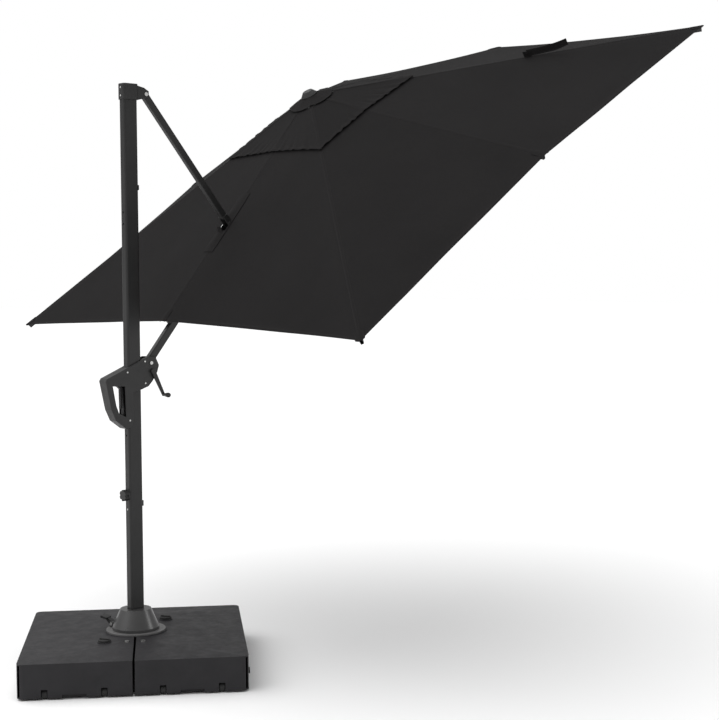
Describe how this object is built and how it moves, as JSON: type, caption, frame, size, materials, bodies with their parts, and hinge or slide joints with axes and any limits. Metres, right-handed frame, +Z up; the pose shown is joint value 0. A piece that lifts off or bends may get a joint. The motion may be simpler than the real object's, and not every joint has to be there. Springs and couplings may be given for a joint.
{
  "type": "cantilever parasol",
  "caption": "Cantilever parasol with a square tilting canopy on a boom and strut, a mast with a sliding handle and crank, and a low square ballast base.",
  "frame": {"origin": "on the floor under the centre of the mast, at the underside of the base frame", "axes": "+X the way the boom reaches, +Z up, +Y to the left seen from behind the mast"},
  "size_m": [3.1476, 2.7, 3.0685],
  "materials": {
    "tank_plastic": "rotationally moulded, fine grain",
    "moulded_plastic": "fine grained moulded nylon",
    "bush_plastic": "natural acetal",
    "steel_coated": "powder coated steel",
    "mast_coated": "powder coated dark grey",
    "zinc": "zinc plated",
    "rubber": "moulded",
    "canvas": "woven acrylic or polyester canvas"
  },
  "bodies": {
    "base": {"tank_left": "tank_plastic", "tank_right": "tank_plastic", "cross_frame": "steel_coated", "pedestal": "steel_coated", "tie_bolts": "zinc", "drain_plugs": "moulded_plastic"},
    "cap_left": {"fill_cap_left": "moulded_plastic"},
    "cap_right": {"fill_cap_right": "moulded_plastic"},
    "mast": {"swivel_bell": "moulded_plastic", "swivel_bush": "bush_plastic", "lock_pin": "zinc", "pedal_pin": "zinc", "lower_mast": "mast_coated", "upper_mast": "mast_coated", "mast_coupler": "mast_coated", "top_bracket": "moulded_plastic", "strut_pin": "zinc", "slider_stop": "rubber"},
    "knob": {"mast_knob": "moulded_plastic"},
    "pedal": {"foot_pedal": "moulded_plastic"},
    "strut": {"strut": "mast_coated", "strut_fork": "mast_coated"},
    "boom": {"boom": "mast_coated", "boom_clamp": "mast_coated", "clamp_pin": "zinc", "boom_foot": "moulded_plastic", "boom_knuckle": "moulded_plastic"},
    "slider": {"slider_shell_left": "moulded_plastic", "slider_shell_right": "moulded_plastic", "slider_liner": "bush_plastic", "slider_screws": "zinc", "slider_pin": "zinc"},
    "trigger": {"latch_trigger": "moulded_plastic"},
    "crank": {"crank_arm": "mast_coated", "winch_spool": "bush_plastic"},
    "grip": {"crank_grip": "moulded_plastic"},
    "hub": {"hub_crown": "moulded_plastic", "hub_post": "mast_coated", "top_cap": "moulded_plastic", "canopy": "canvas"},
    "runner": {"runner": "moulded_plastic"},
    "stretcher_boom": {"stretcher_boom": "mast_coated"},
    "rib_1": {"rib_1": "mast_coated"},
    "stretcher_1": {"stretcher_1": "mast_coated"},
    "rib_2": {"rib_2": "mast_coated"},
    "stretcher_2": {"stretcher_2": "mast_coated"},
    "rib_3": {"rib_3": "mast_coated"},
    "stretcher_3": {"stretcher_3": "mast_coated"},
    "rib_4": {"rib_4": "mast_coated"},
    "stretcher_4": {"stretcher_4": "mast_coated"},
    "rib_5": {"rib_5": "mast_coated"},
    "stretcher_5": {"stretcher_5": "mast_coated"},
    "rib_6": {"rib_6": "mast_coated"},
    "stretcher_6": {"stretcher_6": "mast_coated"},
    "rib_7": {"rib_7": "mast_coated"},
    "stretcher_7": {"stretcher_7": "mast_coated"},
    "roller_front_left": {"roller_front_left": "moulded_plastic"},
    "roller_front_right": {"roller_front_right": "moulded_plastic"},
    "roller_rear_left": {"roller_rear_left": "moulded_plastic"},
    "roller_rear_right": {"roller_rear_right": "moulded_plastic"}
  },
  "joints": [
    {"name": "mast_swivel", "type": "hinge", "parent": "base", "child": "mast", "pos_m": [0, 0, 0.2], "axis": [0, 0, 1], "continuous": true},
    {"name": "roller_front_left_spin", "type": "hinge", "parent": "base", "child": "roller_front_left", "pos_m": [-0.47132, -0.24901, 0.021], "axis": [0.829, -0.5592, 0], "continuous": true},
    {"name": "roller_front_right_spin", "type": "hinge", "parent": "base", "child": "roller_front_right", "pos_m": [-0.05432, -0.53029, 0.021], "axis": [0.829, -0.5592, 0], "continuous": true},
    {"name": "roller_rear_left_spin", "type": "hinge", "parent": "base", "child": "roller_rear_left", "pos_m": [0.05432, 0.53029, 0.021], "axis": [0.829, -0.5592, 0], "continuous": true},
    {"name": "roller_rear_right_spin", "type": "hinge", "parent": "base", "child": "roller_rear_right", "pos_m": [0.47132, 0.24901, 0.021], "axis": [0.829, -0.5592, 0], "continuous": true},
    {"name": "cap_right_turn", "type": "hinge", "parent": "base", "child": "cap_right", "pos_m": [0.22376, 0.09032, 0.172], "axis": [0, 0, 1], "range_deg": [0, 90]},
    {"name": "cap_left_turn", "type": "hinge", "parent": "base", "child": "cap_left", "pos_m": [-0.22376, -0.09032, 0.172], "axis": [0, 0, 1], "range_deg": [0, 90]},
    {"name": "strut_tilt", "type": "hinge", "parent": "mast", "child": "strut", "pos_m": [0.084, 0, 2.63], "axis": [0, -1, 0], "range_deg": [-21.5, 31]},
    {"name": "boom_tilt", "type": "hinge", "parent": "strut", "child": "boom", "pos_m": [0.57821, 0, 2.01752], "axis": [0, -1, 0], "range_deg": [-62, 43]},
    {"name": "slider_tilt", "type": "hinge", "parent": "boom", "child": "slider", "pos_m": [0.084, 0, 1.40505], "axis": [0, -1, 0], "range_deg": [-21.5, 31]},
    {"name": "trigger_pull", "type": "hinge", "parent": "slider", "child": "trigger", "pos_m": [-0.08, 0, 1.31305], "axis": [0, 1, 0], "range_deg": [0, 12], "stiffness_Nm_per_rad": 1, "springref_deg": -17.19},
    {"name": "crank_turn", "type": "hinge", "parent": "slider", "child": "crank", "pos_m": [0.09, 0, 1.36705], "axis": [0, -1, 0], "range_deg": [-2560, 0]},
    {"name": "grip_spin", "type": "hinge", "parent": "crank", "child": "grip", "pos_m": [0.14436, -0.06, 1.2556], "axis": [0, -1, 0], "continuous": true},
    {"name": "knob_turn", "type": "hinge", "parent": "mast", "child": "knob", "pos_m": [-0.06, 0, 0.802], "axis": [-1, 0, 0], "continuous": true},
    {"name": "pedal_press", "type": "hinge", "parent": "mast", "child": "pedal", "pos_m": [-0.0585, 0.10132, 0.1944], "axis": [-0.866, -0.5, 0], "range_deg": [0, 6], "stiffness_Nm_per_rad": 3, "springref_deg": -22.92},
    {"name": "canopy_fold", "type": "hinge", "parent": "boom", "child": "hub", "pos_m": [1.06843, 0, 2.60595], "axis": [0, 1, 0], "range_deg": [0, 64], "deforming": ["canopy"]},
    {"name": "rib_1_fold", "type": "hinge", "parent": "hub", "child": "rib_1", "pos_m": [1.1328, 0, 2.67201], "axis": [0, 1, 0], "range_deg": [0, 64]},
    {"name": "stretcher_1_fold", "type": "hinge", "parent": "rib_1", "child": "stretcher_1", "pos_m": [1.46798, 0, 2.7728], "axis": [0, 1, 0], "range_deg": [-128, 0]},
    {"name": "rib_2_fold", "type": "hinge", "parent": "hub", "child": "rib_2", "pos_m": [1.09511, 0.045, 2.64744], "axis": [-0.8377, 0, -0.5461], "range_deg": [0, 64]},
    {"name": "stretcher_2_fold", "type": "hinge", "parent": "rib_2", "child": "stretcher_2", "pos_m": [1.14895, 0.38082, 2.56483], "axis": [-0.8377, 0, -0.5461], "range_deg": [-128, 0]},
    {"name": "rib_3_fold", "type": "hinge", "parent": "hub", "child": "rib_3", "pos_m": [1.09511, -0.045, 2.64744], "axis": [0.8377, 0, 0.5461], "range_deg": [0, 64]},
    {"name": "stretcher_3_fold", "type": "hinge", "parent": "rib_3", "child": "stretcher_3", "pos_m": [1.14895, -0.38082, 2.56483], "axis": [0.8377, 0, 0.5461], "range_deg": [-128, 0]},
    {"name": "rib_4_fold", "type": "hinge", "parent": "hub", "child": "rib_4", "pos_m": [1.10908, 0.03182, 2.68426], "axis": [-0.5924, 0.7071, -0.3862], "range_deg": [0, 64]},
    {"name": "stretcher_4_fold", "type": "hinge", "parent": "rib_4", "child": "stretcher_4", "pos_m": [1.36186, 0.26928, 2.73134], "axis": [-0.5924, 0.7071, -0.3862], "range_deg": [-128, 0]},
    {"name": "rib_5_fold", "type": "hinge", "parent": "hub", "child": "rib_5", "pos_m": [1.05577, 0.03182, 2.64951], "axis": [-0.5924, -0.7071, -0.3862], "range_deg": [0, 64]},
    {"name": "stretcher_5_fold", "type": "hinge", "parent": "rib_5", "child": "stretcher_5", "pos_m": [0.91069, 0.26928, 2.43723], "axis": [-0.5924, -0.7071, -0.3862], "range_deg": [-128, 0]},
    {"name": "rib_6_fold", "type": "hinge", "parent": "hub", "child": "rib_6", "pos_m": [1.05577, -0.03182, 2.64951], "axis": [0.5924, -0.7071, 0.3862], "range_deg": [0, 64]},
    {"name": "stretcher_6_fold", "type": "hinge", "parent": "rib_6", "child": "stretcher_6", "pos_m": [0.91069, -0.26928, 2.43723], "axis": [0.5924, -0.7071, 0.3862], "range_deg": [-128, 0]},
    {"name": "rib_7_fold", "type": "hinge", "parent": "hub", "child": "rib_7", "pos_m": [1.10908, -0.03182, 2.68426], "axis": [0.5924, 0.7071, 0.3862], "range_deg": [0, 64]},
    {"name": "stretcher_7_fold", "type": "hinge", "parent": "rib_7", "child": "stretcher_7", "pos_m": [1.36186, -0.26928, 2.73134], "axis": [0.5924, 0.7071, 0.3862], "range_deg": [-128, 0]},
    {"name": "stretcher_boom_fold", "type": "hinge", "parent": "boom", "child": "stretcher_boom", "pos_m": [0.84095, 0, 2.33996], "axis": [0, -1, 0], "range_deg": [-128, 0]},
    {"name": "runner_fold", "type": "hinge", "parent": "stretcher_1", "child": "runner", "pos_m": [1.2405, 0, 2.5068], "axis": [0, 1, 0], "range_deg": [0, 64]}
  ],
  "couplings": [
    {"joint": "boom_tilt", "follows": "strut_tilt", "ratio": -2},
    {"joint": "slider_tilt", "follows": "strut_tilt", "ratio": 1},
    {"joint": "crank_turn", "follows": "canopy_fold", "ratio": -40},
    {"joint": "stretcher_boom_fold", "follows": "canopy_fold", "ratio": -2},
    {"joint": "runner_fold", "follows": "canopy_fold", "ratio": 1},
    {"joint": "rib_1_fold", "follows": "canopy_fold", "ratio": 1},
    {"joint": "stretcher_1_fold", "follows": "canopy_fold", "ratio": -2},
    {"joint": "rib_2_fold", "follows": "canopy_fold", "ratio": 1},
    {"joint": "stretcher_2_fold", "follows": "canopy_fold", "ratio": -2},
    {"joint": "rib_3_fold", "follows": "canopy_fold", "ratio": 1},
    {"joint": "stretcher_3_fold", "follows": "canopy_fold", "ratio": -2},
    {"joint": "rib_4_fold", "follows": "canopy_fold", "ratio": 1},
    {"joint": "stretcher_4_fold", "follows": "canopy_fold", "ratio": -2},
    {"joint": "rib_5_fold", "follows": "canopy_fold", "ratio": 1},
    {"joint": "stretcher_5_fold", "follows": "canopy_fold", "ratio": -2},
    {"joint": "rib_6_fold", "follows": "canopy_fold", "ratio": 1},
    {"joint": "stretcher_6_fold", "follows": "canopy_fold", "ratio": -2},
    {"joint": "rib_7_fold", "follows": "canopy_fold", "ratio": 1},
    {"joint": "stretcher_7_fold", "follows": "canopy_fold", "ratio": -2}
  ]
}
